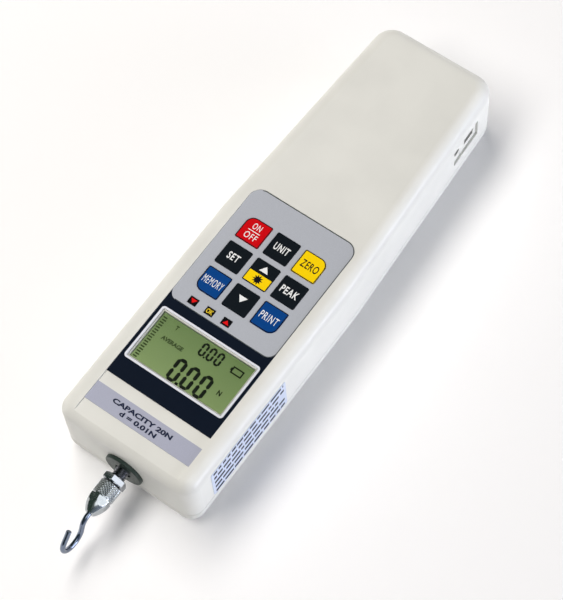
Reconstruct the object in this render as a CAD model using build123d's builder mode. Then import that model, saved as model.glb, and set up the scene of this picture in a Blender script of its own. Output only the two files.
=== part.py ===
from build123d import *
import os
from math import asin, atan2, cos, degrees, hypot, radians, sin

# Hand-held digital force gauge with a wire hook, one STEP file for each piece.
# X runs across the housing, +Y towards its rear end and -Y towards the hook, Z up from the back.
# The origin is the middle of the flat back that the gauge lies on. All sizes are millimetres.

# ---------------------------------------------------------------- housing
body_length = 220.0
body_width = 66.0
body_height = 36.0
rear_width = 55.5            # the sides close in towards the rear end
taper_start = 0.0            # where they begin to, along Y
taper_blend_radius = 60.0
front_corner_radius = 6.5
rear_corner_radius = 9.0
top_edge_radius = 6.0
back_edge_radius = 6.5
seam_height = 9.0            # joint of the two shells above the back
seam_groove = 0.3
side_wall = 2.2
top_wall = 2.6
back_wall = 2.4
tongue_thickness = 1.0
tongue_height = 1.6
tongue_clearance = 0.15

# ---------------------------------------------------------------- face panel, sunk into the top
# Places on the top are given as insets from the housing's front edge.
panel_width = 51.0
panel_depth = 0.6
panel_rear_inset = 123.9
panel_corner_radius = 5.5
foil_thickness = 0.4
foil_clearance = 0.12
foil_joint = 0.02            # between the keypad's foil and the display's
keypad_front_inset = 63.7
keypad_front_corner_radius = 4.0
display_foil_front_inset = 24.1
strip_front_inset = 10.0
strip_length = 8.7
strip_thickness = 0.3

# ---------------------------------------------------------------- keys
key_pitch = 13.8
key_size = 11.2
key_corner_radius = 0.6
key_outer_corner_radius = 3.6
key_clearance = 0.16
key_centre_inset = 92.0
key_proud = 0.15             # above the foil
key_edge_radius = 0.12
key_travel = 0.4
key_flange_overlap = 0.8
key_flange_thickness = 0.8
key_flange_gap = 0.1
key_stem_radius = 2.2
key_stem_length = 1.2
dome_radius = 4.0
dome_height = 0.7
dome_gap = 0.1               # left between stem and dome with the key pressed

# ---------------------------------------------------------------- indicators
indicator_pitch = 8.2
indicator_centre_x = -7.2
indicator_centre_inset = 67.2
indicator_width = 4.0
indicator_length = 3.3
indicator_clearance = 0.1
lamp_size = 2.0
lamp_height = 1.2

# ---------------------------------------------------------------- display
display_centre_inset = 45.95
bezel_width = 48.0
bezel_length = 26.4
bezel_line = 0.9
bezel_corner_radius = 1.4
bezel_proud = 0.1
bezel_clearance = 0.06
lens_ledge = 0.7
lens_thickness = 0.4
display_module_border = 1.6
display_sink = 1.0           # from the lens down to the display glass
display_clearance = 0.2

# ---------------------------------------------------------------- boards and their fixings
key_board_thickness = 1.6
key_board_width = 52.0
key_board_margin = 1.4       # from the panel's rear edge and the display foil's front edge
board_boss_radius = 2.3
board_boss_x = 23.4
board_boss_edge = 0.6        # from the boss to the board's edge
board_screw_radius = 1.0
board_screw_head_radius = 1.9
board_screw_head_height = 1.3
board_screw_bite = 2.6
thread_clearance = 0.03
main_board_width = 50.0
main_board_gap = 4.0         # behind the head of the cell's bolt
main_board_steps = 35        # grid along the board that its parts are set out on
main_board_thickness = 1.6
main_board_height = 10.0
main_board_hole_inset = 4.0

# ---------------------------------------------------------------- case screws and mounting inserts
case_screw_front_x = 24.5
case_screw_front_inset = 11.0
case_screw_rear_x = 19.0
case_screw_rear_inset = 10.5     # from the housing's rear edge
case_boss_radius = 3.6
case_screw_radius = 1.5
case_screw_head_radius = 2.75
case_screw_head_height = 2.4
case_screw_socket = 2.4      # across flats
case_screw_sink = 3.2
case_screw_length = 16.0
case_screw_run_out = 1.0
insert_pitch_x = 40.0
insert_pitch_y = 60.0
insert_to_battery = 0.5
insert_radius = 2.9
insert_bore_radius = 1.65    # tapping size of an M4 thread
insert_length = 6.0
insert_boss_wall = 1.6

# ---------------------------------------------------------------- load train, on the axis of pull
train_travel = 0.3           # the cell gives this much each way
shaft_radius = 3.0           # M6
shaft_collar_radius = 4.5
shaft_collar_length = 8.0
shaft_fit = 0.05
bush_radius = 8.7
bush_flange = 1.6
bush_spigot_radius = 6.0
bush_bore_clearance = 0.7
nut_stand_off = 5.3          # from the housing's front face
nut_across_flats = 9.0
nut_length = 3.0
nut_gap = 0.3
adaptor_radius = 4.75
adaptor_knurl_length = 6.2
adaptor_groove_width = 0.5
adaptor_groove_depth = 0.5
adaptor_nose_length = 7.6
adaptor_nose_radius = 2.0
adaptor_flats = 8.3
adaptor_flats_length = 3.6
adaptor_thread_depth = 6.5
wire_radius = 1.1
wire_root = 4.0
wire_lead = 3.6
wire_bend_radius = 5.2
hook_radius = 5.8
hook_reach = 11.2            # from the nose to the middle of the bow
hook_drop = 2.8              # from the axis of pull to the middle of the bow
hook_tip_angle = 43.0
hook_tip_length = 6.0

# ---------------------------------------------------------------- load cell and its bracket
cell_width = 24.0
cell_length = 32.0
cell_height = 12.0
cell_corner_radius = 1.0
cell_rear_inset = 58.0       # from the housing's front edge
cell_slot = 2.0
cell_slot_stop = 6.0
cell_arm = 7.0
cell_hole_radius = 3.4
cell_hole_offset = 3.0
cell_bore_depth = 6.0
bracket_plate = 4.0
bracket_width = 30.0
bracket_foot_length = 40.0
bracket_foot_thickness = 3.0
bracket_foot_height = 4.4
bracket_rise = 2.0           # over the cell
bracket_head_room = 1.2      # under the key board's screws
bracket_pad_radius = 3.4
cell_bolt_radius = 3.0
cell_bolt_head_radius = 5.0
cell_bolt_head_length = 6.0
cell_bolt_socket = 4.98      # across flats
cell_bolt_bite = 6.0
foot_screw_inset = 5.0

# ---------------------------------------------------------------- battery
battery_width = 44.1
battery_length = 51.1
battery_corner_radius = 7.25     # that of the cells in the sleeve
battery_sleeve = 0.3
battery_rear_inset = 23.9    # from the housing's rear edge
battery_gap = 3.0            # behind the main board
battery_centre_x = -3.35
battery_rib_height = 9.0
battery_rib_thickness = 1.6
battery_clearance = 0.25
battery_pad_width = 28.0
battery_pad_length = 30.0
battery_pad_thickness = 1.4

# ---------------------------------------------------------------- sockets in the right side
port_rear_inset = 24.4       # from the housing's rear edge
port_length = 19.0
port_height = 10.6
port_rise = 11.6             # above the seam
port_depth = 1.1
port_corner_radius = 0.8
jack_offset = -5.8           # from the middle of the recess
jack_radius = 1.8
jack_pin_radius = 0.6
jack_size = 7.6
jack_depth = 7.0
jack_mouth_depth = 5.25
serial_offset = 3.8
serial_width = 8.4
serial_height = 6.4
serial_mouth_width = 6.6
serial_mouth_height = 3.4
serial_tongue_width = 5.0
serial_tongue_height = 0.85
serial_depth = 7.0
serial_mouth_depth = 4.5
socket_fit = 0.15
socket_board_thickness = 1.6
socket_board_overhang = 1.2
socket_pillar_radius = 2.2

# ---------------------------------------------------------------- side label
label_front_inset = 13.2
label_length = 48.6
label_low_margin = 0.9       # above the seam
label_top_margin = 0.1       # under the rounded top edge
label_thickness = 0.15
label_corner_radius = 1.0

os.makedirs("parts", exist_ok=True)


def save(part, name):
    """Label a finished piece and write it as parts/name.step."""
    part.label = name
    export_step(part, f"parts/{name}.step")


# Levels and places that follow from the sizes above
front_y = -body_length / 2
rear_y = body_length / 2
panel_rear_y = front_y + panel_rear_inset
keypad_front_y = front_y + keypad_front_inset
display_foil_front_y = front_y + display_foil_front_inset
strip_front_y = front_y + strip_front_inset
key_centre_y = front_y + key_centre_inset
indicator_centre_y = front_y + indicator_centre_inset
display_centre_y = front_y + display_centre_inset
ceiling_z = body_height - top_wall
panel_z = body_height - panel_depth
foil_top_z = panel_z + foil_thickness
display_front_y = display_centre_y - bezel_length / 2
flange_top_z = ceiling_z - key_flange_gap
stem_bottom_z = flange_top_z - key_flange_thickness - key_stem_length
key_board_z = stem_bottom_z - key_travel - dome_gap - dome_height
key_board_bottom_z = key_board_z - key_board_thickness
key_board_front_y = display_foil_front_y + key_board_margin
key_board_rear_y = panel_rear_y - key_board_margin
side_slope = (body_width - rear_width) / 2 / (rear_y - taper_start)


def half_width(y):
    """Half the housing's width at a place along its length."""
    return body_width / 2 - side_slope * max(0.0, y - taper_start)


def housing_plan(height, inset=0.0):
    """The housing's outline at a height, moved in by inset."""
    near, far = body_width / 2, rear_width / 2
    with BuildSketch(Plane.XY.offset(height)) as plan:
        with BuildLine():
            Polyline((-near, front_y), (near, front_y), (near, taper_start), (far, rear_y),
                     (-far, rear_y), (-near, taper_start), close=True)
        make_face()
        fillet(plan.vertices().group_by(Axis.Y)[0], front_corner_radius)
        fillet(plan.vertices().group_by(Axis.Y)[-1], rear_corner_radius)
        fillet(plan.vertices().sort_by(lambda v: abs(v.Y - taper_start))[:2], taper_blend_radius)
        if inset:
            offset(amount=-inset)
    return plan.sketch


def rounded_plate(width, rear, front, height, rear_radius, front_radius, centre_x=0.0):
    """A rectangle between two places along Y, with its own corner radius at each end."""
    with BuildSketch(Plane.XY.offset(height)) as plate:
        with Locations((centre_x, (rear + front) / 2)):
            Rectangle(width, rear - front)
        if rear_radius:
            fillet(plate.vertices().group_by(Axis.Y)[-1], rear_radius)
        if front_radius:
            fillet(plate.vertices().group_by(Axis.Y)[0], front_radius)
    return plate.sketch


# Each key: its place in the grid, and the corner of the pad that it rounds
KEYS = {
    "key_on_off": (-1, 1, True), "key_unit": (0, 1, False), "key_zero": (1, 1, True),
    "key_set": (-1, 0, False), "key_up": (0, 0, False), "key_peak": (1, 0, False),
    "key_memory": (-1, -1, True), "key_down": (0, -1, False), "key_print": (1, -1, True),
}


def key_place(column, row):
    return column * key_pitch, key_centre_y + row * key_pitch


def key_outline(column, row, outer, height, grow=0.0):
    """A key's outline, grown all round; a corner key has one large outer corner."""
    x, y = key_place(column, row)
    with BuildSketch(Plane.XY.offset(height)) as outline:
        with Locations((x, y)):
            Rectangle(key_size + 2 * grow, key_size + 2 * grow)
        if outer:
            fillet(outline.vertices().sort_by(lambda v: v.X * column + v.Y * row)[-1],
                   key_outer_corner_radius + grow)
            fillet(outline.vertices().sort_by(lambda v: v.X * column + v.Y * row)[:3],
                   key_corner_radius + grow)
        else:
            fillet(outline.vertices(), key_corner_radius + grow)
    return outline.sketch


key_places = [key_place(column, row) for column, row, outer in KEYS.values()]
indicator_places = [(indicator_centre_x + step * indicator_pitch, indicator_centre_y)
                    for step in (-1, 0, 1)]
board_boss_places = [(side * board_boss_x, y) for side in (-1, 1)
                     for y in (key_board_front_y + board_boss_radius + board_boss_edge,
                               keypad_front_y,
                               key_board_rear_y - board_boss_radius - board_boss_edge)]
case_screw_places = [(side * x, y) for side in (-1, 1)
                     for x, y in ((case_screw_front_x, front_y + case_screw_front_inset),
                                  (case_screw_rear_x, rear_y - case_screw_rear_inset))]

# The load cell's bracket stands just clear of the screws under the key board
bracket_top_z = key_board_bottom_z - board_screw_head_height - bracket_head_room
axis_height = bracket_top_z - bracket_rise - cell_height / 2

# Places along the axis of pull, from the cell out to the hook
cell_rear_y = front_y + cell_rear_inset
cell_front_y = cell_rear_y - cell_length
shaft_inner_y = cell_front_y + cell_bore_depth - 2 * train_travel
collar_front_y = front_y + side_wall + 3 * train_travel + bush_flange
nut_rear_y = front_y - nut_stand_off
nut_front_y = nut_rear_y - nut_length
adaptor_rear_y = nut_front_y - nut_gap
shaft_outer_y = adaptor_rear_y - adaptor_thread_depth + train_travel
groove_rear_y = adaptor_rear_y - adaptor_knurl_length
groove_front_y = groove_rear_y - adaptor_groove_width
nose_y = groove_front_y - adaptor_nose_length
pull_axis = Axis((0, 0, axis_height), (0, 1, 0))


def across(y):
    """A plane square to the axis of pull; its positive side faces the hook."""
    return Plane(origin=(0, y, axis_height), x_dir=(1, 0, 0), z_dir=(0, -1, 0))


# Display sizes, from the bezel inwards
lens_width = bezel_width - 2 * bezel_line
lens_length = bezel_length - 2 * bezel_line
aperture_width = lens_width - 2 * lens_ledge
aperture_length = lens_length - 2 * lens_ledge
module_top_z = ceiling_z - display_clearance / 2
display_glass_z = panel_z - display_sink

# The sockets stand on a small board behind the right wall
port_centre_y = rear_y - port_rear_inset
port_centre_z = seam_height + port_rise
jack_y = port_centre_y + jack_offset
serial_y = port_centre_y + serial_offset
port_plane = Plane(origin=(half_width(port_centre_y), port_centre_y, port_centre_z),
                   x_dir=(-side_slope, 1, 0), z_dir=(1, side_slope, 0))
socket_plane = port_plane.offset(-side_wall - socket_fit)
socket_board_z = port_centre_z - jack_size / 2
socket_board_front_y = jack_y - jack_size / 2 - socket_board_overhang
socket_board_rear_y = serial_y + serial_width / 2 + socket_board_overhang
socket_board_right = half_width(socket_board_rear_y) - side_wall - 2 * socket_fit
socket_board_centre_x = socket_board_right - jack_depth / 2
socket_pillar_places = [(socket_board_centre_x, y)
                        for y in (socket_board_front_y + socket_pillar_radius,
                                  socket_board_rear_y - socket_pillar_radius)]
serial_drop = (serial_height - jack_size) / 2

# The battery pack lies between two ribs of the back shell, under a pad
battery_height = ceiling_z - back_wall - battery_pad_thickness
battery_rear_y = rear_y - battery_rear_inset
battery_front_y = battery_rear_y - battery_length
battery_rib_places = [battery_front_y - battery_clearance - battery_rib_thickness / 2,
                      battery_rear_y + battery_clearance + battery_rib_thickness / 2]

# The main board takes up the room between the cell's bracket and the battery
bracket_rear_y = cell_rear_y + bracket_plate
main_board_front_y = bracket_rear_y + cell_bolt_head_length + main_board_gap
main_board_rear_y = battery_front_y - battery_gap
main_board_step = (main_board_rear_y - main_board_front_y) / main_board_steps
main_board_places = [(side * (main_board_width / 2 - main_board_hole_inset), y) for side in (-1, 1)
                     for y in (main_board_front_y + main_board_hole_inset,
                               main_board_rear_y - main_board_hole_inset)]
foot_rear_y = cell_rear_y + bracket_foot_length
foot_screw_places = [(side * (bracket_width / 2 - foot_screw_inset), y) for side in (-1, 1)
                     for y in (bracket_rear_y + 2 * foot_screw_inset, foot_rear_y - foot_screw_inset)]
insert_rear_y = battery_front_y - insert_to_battery - insert_boss_wall - insert_radius
insert_places = [(x * insert_pitch_x / 2, y) for x in (-1, 1)
                 for y in (insert_rear_y - insert_pitch_y, insert_rear_y)]

# ================================================================ front shell
with BuildPart() as front_shell:
    extrude(housing_plan(seam_height), amount=body_height - seam_height)
    fillet(front_shell.faces().sort_by(Axis.Z)[-1].edges(), top_edge_radius)
    chamfer(front_shell.faces().sort_by(Axis.Z)[0].edges(), seam_groove)
    extrude(housing_plan(seam_height, side_wall), amount=ceiling_z - seam_height,
            mode=Mode.SUBTRACT)
    ceiling = front_shell.faces().filter_by(Axis.Z).sort_by(lambda f: abs(f.center().Z - ceiling_z))
    fillet(ceiling[0].edges(), top_edge_radius - side_wall)
    # bosses for the case screws and for the key board
    with BuildSketch(Plane.XY.offset(seam_height)):
        with Locations(*case_screw_places):
            Circle(case_boss_radius)
    extrude(amount=ceiling_z - seam_height)
    with BuildSketch(Plane.XY.offset(key_board_z)):
        with Locations(*board_boss_places):
            Circle(board_boss_radius)
    extrude(amount=ceiling_z - key_board_z)
    with BuildSketch(Plane.XY.offset(seam_height)):
        with Locations(*case_screw_places):
            Circle(case_screw_radius + thread_clearance)
    extrude(amount=case_screw_sink + case_screw_length + case_screw_run_out - seam_height,
            mode=Mode.SUBTRACT)
    with BuildSketch(Plane.XY.offset(key_board_z)):
        with Locations(*board_boss_places):
            Circle(board_screw_radius + thread_clearance)
    extrude(amount=board_screw_bite, mode=Mode.SUBTRACT)
    # the sunk panel runs out through the rounded front edge
    extrude(rounded_plate(panel_width, panel_rear_y, front_y, body_height,
                          panel_corner_radius, 0), amount=-panel_depth, mode=Mode.SUBTRACT)
    # openings for the keys, the display and the indicators
    for column, row, outer in KEYS.values():
        extrude(key_outline(column, row, outer, panel_z, key_clearance), amount=-top_wall,
                mode=Mode.SUBTRACT)
    with BuildSketch(Plane.XY.offset(panel_z)):
        with Locations((0, display_centre_y)):
            Rectangle(aperture_width, aperture_length)
        with Locations(*indicator_places):
            Rectangle(indicator_width + 2 * indicator_clearance,
                      indicator_length + 2 * indicator_clearance)
    extrude(amount=-top_wall, mode=Mode.SUBTRACT)
    # the load shaft's hole, and the recess for the sockets
    with BuildSketch(across(front_y)):
        Circle(bush_spigot_radius + thread_clearance)
    extrude(amount=-side_wall, mode=Mode.SUBTRACT)
    with BuildSketch(port_plane):
        RectangleRounded(port_length, port_height, port_corner_radius)
    extrude(amount=-port_depth, mode=Mode.SUBTRACT)
    with BuildSketch(port_plane):
        with Locations((jack_offset, 0)):
            Circle(jack_radius + socket_fit)
        with Locations((serial_offset, serial_drop)):
            Rectangle(serial_mouth_width + 2 * socket_fit, serial_mouth_height + 2 * socket_fit)
    extrude(amount=-side_wall - socket_fit, mode=Mode.SUBTRACT)
save(front_shell.part, "front_shell")

# ================================================================ back shell
with BuildPart() as back_shell:
    extrude(housing_plan(0), amount=seam_height)
    fillet(back_shell.faces().sort_by(Axis.Z)[0].edges(), back_edge_radius)
    chamfer(back_shell.faces().sort_by(Axis.Z)[-1].edges(), seam_groove)
    extrude(housing_plan(back_wall, side_wall), amount=seam_height - back_wall,
            mode=Mode.SUBTRACT)
    floor = back_shell.faces().filter_by(Axis.Z).sort_by(lambda f: abs(f.center().Z - back_wall))
    fillet(floor[0].edges(), back_edge_radius - side_wall)
    # tongue that keeps the two shells in line
    tongue_inset = side_wall + tongue_clearance
    with BuildSketch(Plane.XY.offset(seam_height - tongue_height)):
        add(housing_plan(0, side_wall / 2))
        add(housing_plan(0, tongue_inset + tongue_thickness), mode=Mode.SUBTRACT)
    extrude(amount=tongue_height)
    with BuildSketch(Plane.XY.offset(seam_height)):
        add(housing_plan(0, tongue_inset))
        add(housing_plan(0, tongue_inset + tongue_thickness), mode=Mode.SUBTRACT)
    extrude(amount=tongue_height)
    # bosses, pillars and ribs that stand on the floor
    for places, radius, top in (
        (case_screw_places, case_boss_radius, seam_height),
        (main_board_places, board_boss_radius, main_board_height),
        (insert_places, insert_radius + insert_boss_wall, insert_length + insert_boss_wall),
        (foot_screw_places, bracket_pad_radius, bracket_foot_height),
        (socket_pillar_places, socket_pillar_radius, socket_board_z - socket_board_thickness),
    ):
        with BuildSketch(Plane.XY.offset(back_wall / 2)):
            with Locations(*places):
                Circle(radius)
        extrude(amount=top - back_wall / 2)
    with BuildSketch(Plane.XY.offset(back_wall / 2)):
        with Locations(*[(battery_centre_x, y) for y in battery_rib_places]):
            Rectangle(battery_width, battery_rib_thickness)
    extrude(amount=battery_rib_height - back_wall / 2)
    # holes
    with Locations(*[Location((x, y, 0), (180, 0, 0)) for x, y in case_screw_places]):
        CounterBoreHole(radius=case_screw_radius + tongue_clearance,
                        counter_bore_radius=case_screw_head_radius + tongue_clearance,
                        counter_bore_depth=case_screw_sink, depth=seam_height)
    for places, radius, top, depth in (
        (main_board_places, board_screw_radius, main_board_height, board_screw_bite),
        (foot_screw_places, board_screw_radius, bracket_foot_height, board_screw_bite),
    ):
        with Locations(*[(x, y, top) for x, y in places]):
            Hole(radius=radius + thread_clearance, depth=depth)
    with BuildSketch(Plane.XY):
        with Locations(*insert_places):
            Circle(insert_radius + thread_clearance)
    extrude(amount=insert_length, mode=Mode.SUBTRACT)
    # the bush's hole, which reaches this shell where the axis of pull lies low
    with BuildSketch(across(front_y)):
        Circle(bush_spigot_radius + thread_clearance)
    extrude(amount=-side_wall, mode=Mode.SUBTRACT)
save(back_shell.part, "back_shell")

# ================================================================ face panel
with BuildPart() as keypad_foil:
    extrude(rounded_plate(panel_width - 2 * foil_clearance, panel_rear_y - foil_clearance,
                          keypad_front_y, panel_z, panel_corner_radius - foil_clearance,
                          keypad_front_corner_radius), amount=foil_thickness)
    for column, row, outer in KEYS.values():
        extrude(key_outline(column, row, outer, panel_z, key_clearance), amount=foil_thickness,
                mode=Mode.SUBTRACT)
    with BuildSketch(Plane.XY.offset(panel_z)):
        with Locations(*indicator_places):
            Rectangle(indicator_width + 2 * indicator_clearance,
                      indicator_length + 2 * indicator_clearance)
    extrude(amount=foil_thickness, mode=Mode.SUBTRACT)
save(keypad_foil.part, "keypad_foil")

with BuildPart() as display_foil:
    corner_y = keypad_front_y + keypad_front_corner_radius
    extrude(rounded_plate(panel_width - 2 * foil_clearance, corner_y, display_foil_front_y,
                          panel_z, 0, 0), amount=foil_thickness)
    # the keypad's rounded corners lie in this foil's rear edge
    extrude(rounded_plate(panel_width - 2 * foil_clearance + foil_joint, panel_rear_y,
                          keypad_front_y - foil_joint, panel_z, 0, keypad_front_corner_radius),
            amount=foil_thickness, mode=Mode.SUBTRACT)
    extrude(rounded_plate(bezel_width + 2 * bezel_clearance,
                          display_centre_y + bezel_length / 2 + bezel_clearance,
                          display_front_y - bezel_clearance, panel_z,
                          bezel_corner_radius + bezel_clearance,
                          bezel_corner_radius + bezel_clearance),
            amount=foil_thickness, mode=Mode.SUBTRACT)
save(display_foil.part, "display_foil")

with BuildPart() as label_strip:
    extrude(rounded_plate(panel_width - 2 * foil_clearance, strip_front_y + strip_length,
                          strip_front_y, panel_z, 0, 0), amount=strip_thickness)
save(label_strip.part, "label_strip")

# ================================================================ display
with BuildPart() as display_bezel:
    display_rear_y = display_centre_y + bezel_length / 2
    inner_radius = bezel_corner_radius - bezel_line
    extrude(rounded_plate(bezel_width, display_rear_y, display_front_y, panel_z,
                          bezel_corner_radius, bezel_corner_radius),
            amount=foil_thickness + bezel_proud)
    extrude(rounded_plate(lens_width, display_rear_y - bezel_line, display_front_y + bezel_line,
                          panel_z, inner_radius, inner_radius),
            amount=foil_thickness + bezel_proud, mode=Mode.SUBTRACT)
save(display_bezel.part, "display_bezel")

with BuildPart() as display_lens:
    lens_rear_y = display_centre_y + lens_length / 2 - bezel_clearance
    lens_front_y = display_centre_y - lens_length / 2 + bezel_clearance
    extrude(rounded_plate(lens_width - 2 * bezel_clearance, lens_rear_y, lens_front_y, panel_z,
                          inner_radius, inner_radius), amount=lens_thickness)
save(display_lens.part, "display_lens")

with BuildPart() as display_glass:
    with BuildSketch(Plane.XY.offset(module_top_z)):
        with Locations((0, display_centre_y)):
            Rectangle(aperture_width - 2 * display_clearance,
                      aperture_length - 2 * display_clearance)
    extrude(amount=display_glass_z - module_top_z)
save(display_glass.part, "display_glass")

with BuildPart() as display_module:
    with BuildSketch(Plane.XY.offset(key_board_z)):
        with Locations((0, display_centre_y)):
            RectangleRounded(aperture_width + 2 * display_module_border,
                             aperture_length + 2 * display_module_border,
                             display_module_border / 2)
    extrude(amount=module_top_z - key_board_z)
save(display_module.part, "display_module")

# ================================================================ keys
for name, (column, row, outer) in KEYS.items():
    with BuildPart() as key:
        cap_bottom_z = flange_top_z - key_flange_thickness
        extrude(key_outline(column, row, outer, cap_bottom_z),
                amount=foil_top_z + key_proud - cap_bottom_z)
        extrude(key_outline(column, row, outer, cap_bottom_z, key_flange_overlap),
                amount=key_flange_thickness)
        with BuildSketch(Plane.XY.offset(cap_bottom_z)):
            with Locations(key_place(column, row)):
                Circle(key_stem_radius)
        extrude(amount=-key_stem_length)
        fillet(key.faces().sort_by(Axis.Z)[-1].edges(), key_edge_radius)
    save(key.part, name)

# ================================================================ indicators
for name, place in zip(("indicator_low", "indicator_ok", "indicator_high"), indicator_places):
    with BuildPart() as indicator:
        with BuildSketch(Plane.XY.offset(ceiling_z)):
            with Locations(place):
                Rectangle(indicator_width, indicator_length)
        extrude(amount=foil_top_z - ceiling_z)
        chamfer(indicator.faces().sort_by(Axis.Z)[-1].edges(), indicator_clearance)
    save(indicator.part, name)

with BuildPart() as indicator_lamps:
    with BuildSketch(Plane.XY.offset(key_board_z)):
        with Locations(*indicator_places):
            Rectangle(lamp_size, lamp_size)
    extrude(amount=lamp_height)
save(indicator_lamps.part, "indicator_lamps")

# ================================================================ boards
with BuildPart() as key_board:
    with BuildSketch(Plane.XY.offset(key_board_bottom_z)):
        with Locations((0, (key_board_front_y + key_board_rear_y) / 2)):
            RectangleRounded(key_board_width, key_board_rear_y - key_board_front_y,
                             board_boss_radius)
        with Locations(*board_boss_places):
            Circle(board_screw_radius + tongue_clearance, mode=Mode.SUBTRACT)
    extrude(amount=key_board_thickness)
save(key_board.part, "key_board")

with BuildPart() as dome:
    dome_ball = (dome_radius ** 2 + dome_height ** 2) / (2 * dome_height)
    half_angle = asin(dome_radius / dome_ball) / 2
    with BuildSketch(Plane.XZ):
        with BuildLine():
            ThreePointArc((0, dome_height),
                          (dome_ball * sin(half_angle),
                           dome_height - dome_ball + dome_ball * cos(half_angle)),
                          (dome_radius, 0))
            Line((dome_radius, 0), (0, 0))
            Line((0, 0), (0, dome_height))
        make_face()
    revolve(axis=Axis.Z)
with BuildPart() as key_domes:
    with Locations(*[(x, y, key_board_z) for x, y in key_places]):
        add(dome.part)
save(key_domes.part, "key_domes")

with BuildPart() as main_board:
    with BuildSketch(Plane.XY.offset(main_board_height)):
        with Locations((0, (main_board_front_y + main_board_rear_y) / 2)):
            RectangleRounded(main_board_width, main_board_rear_y - main_board_front_y,
                             board_boss_radius)
        with Locations(*main_board_places):
            Circle(board_screw_radius + tongue_clearance, mode=Mode.SUBTRACT)
    extrude(amount=main_board_thickness)
save(main_board.part, "main_board")

# Parts soldered to the main board: place across it, plan size and height, and apart from
# these their places along it in steps from its middle
board_parts_z = main_board_height + main_board_thickness
board_middle_y = (main_board_front_y + main_board_rear_y) / 2
BOARD_PARTS = (
    (-6.0, (13.0, 13.0), 1.6),     # processor
    (12.0, (9.0, 7.0), 1.8),       # converter for the cell's signal
    (13.0, (7.0, 12.0), 2.6),      # display driver
    (-14.0, (12.0, 5.0), 5.5),     # plug for the cell's lead
    (-14.0, (10.0, 5.0), 5.5),     # plug for the battery's lead
    (8.0, (6.0, 6.0), 3.2),        # choke
)
board_part_steps = (2, 4, -4, -7, 13.5, 12)
with BuildPart() as main_board_parts:
    for (x, size, part_height), steps in zip(BOARD_PARTS, board_part_steps):
        with BuildSketch(Plane.XY.offset(board_parts_z)):
            with Locations((x, board_middle_y + steps * main_board_step)):
                Rectangle(*size)
        extrude(amount=part_height)
save(main_board_parts.part, "main_board_parts")

with BuildPart() as socket_board:
    with BuildSketch(Plane.XY.offset(socket_board_z - socket_board_thickness)):
        with Locations((socket_board_centre_x, (socket_board_front_y + socket_board_rear_y) / 2)):
            Rectangle(jack_depth, socket_board_rear_y - socket_board_front_y)
    extrude(amount=socket_board_thickness)
save(socket_board.part, "socket_board")

with BuildPart() as charger_jack:
    with BuildSketch(socket_plane):
        with Locations((jack_offset, 0)):
            Rectangle(jack_size, jack_size)
    extrude(amount=-jack_depth)
    with BuildSketch(socket_plane):
        with Locations((jack_offset, 0)):
            Circle(jack_radius)
            Circle(jack_pin_radius, mode=Mode.SUBTRACT)
    extrude(amount=-jack_mouth_depth, mode=Mode.SUBTRACT)
save(charger_jack.part, "charger_jack")

with BuildPart() as serial_socket:
    with BuildSketch(socket_plane):
        with Locations((serial_offset, serial_drop)):
            Rectangle(serial_width, serial_height)
    extrude(amount=-serial_depth)
    with BuildSketch(socket_plane):
        with Locations((serial_offset, serial_drop)):
            Rectangle(serial_mouth_width, serial_mouth_height)
            Rectangle(serial_tongue_width, serial_tongue_height, mode=Mode.SUBTRACT)
    extrude(amount=-serial_mouth_depth, mode=Mode.SUBTRACT)
save(serial_socket.part, "serial_socket")

# ================================================================ battery
with BuildPart() as battery_pack:
    with BuildSketch(Plane(origin=(battery_centre_x, battery_front_y, back_wall + battery_height / 2),
                           x_dir=(1, 0, 0), z_dir=(0, -1, 0))):
        RectangleRounded(battery_width, battery_height, battery_corner_radius)
    extrude(amount=-battery_length)
    chamfer(battery_pack.faces().sort_by(Axis.Y)[0].edges(), battery_sleeve)
    chamfer(battery_pack.faces().sort_by(Axis.Y)[-1].edges(), battery_sleeve)
save(battery_pack.part, "battery_pack")

with BuildPart() as battery_pad:
    with BuildSketch(Plane.XY.offset(back_wall + battery_height)):
        with Locations((battery_centre_x, battery_front_y + battery_length / 2)):
            Rectangle(battery_pad_width, battery_pad_length)
    extrude(amount=battery_pad_thickness)
save(battery_pad.part, "battery_pad")

# ================================================================ load cell
with BuildPart() as load_cell:
    cell_middle_y = cell_rear_y - cell_length / 2
    slot_y = cell_length / 2 - cell_arm - cell_slot / 2
    slot_length = cell_width / 2 + cell_slot_stop
    with BuildSketch(Plane.XY.offset(axis_height - cell_height / 2)):
        with Locations((0, cell_middle_y)):
            RectangleRounded(cell_width, cell_length, cell_corner_radius)
            # one slot from each side leaves the S-shaped spring
            with Locations((cell_width / 2 - slot_length / 2, -slot_y),
                           (slot_length / 2 - cell_width / 2, slot_y)):
                Rectangle(slot_length, cell_slot, mode=Mode.SUBTRACT)
            with Locations((cell_hole_offset, 0), (-cell_hole_offset, 0)):
                Circle(cell_hole_radius, mode=Mode.SUBTRACT)
    extrude(amount=cell_height)
    with BuildSketch(across(cell_front_y)):
        Circle(shaft_radius + shaft_fit)
    extrude(amount=-cell_bore_depth, mode=Mode.SUBTRACT)
    with BuildSketch(across(cell_rear_y)):
        Circle(cell_bolt_radius + thread_clearance)
    extrude(amount=cell_bolt_bite, mode=Mode.SUBTRACT)
save(load_cell.part, "load_cell")

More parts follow.
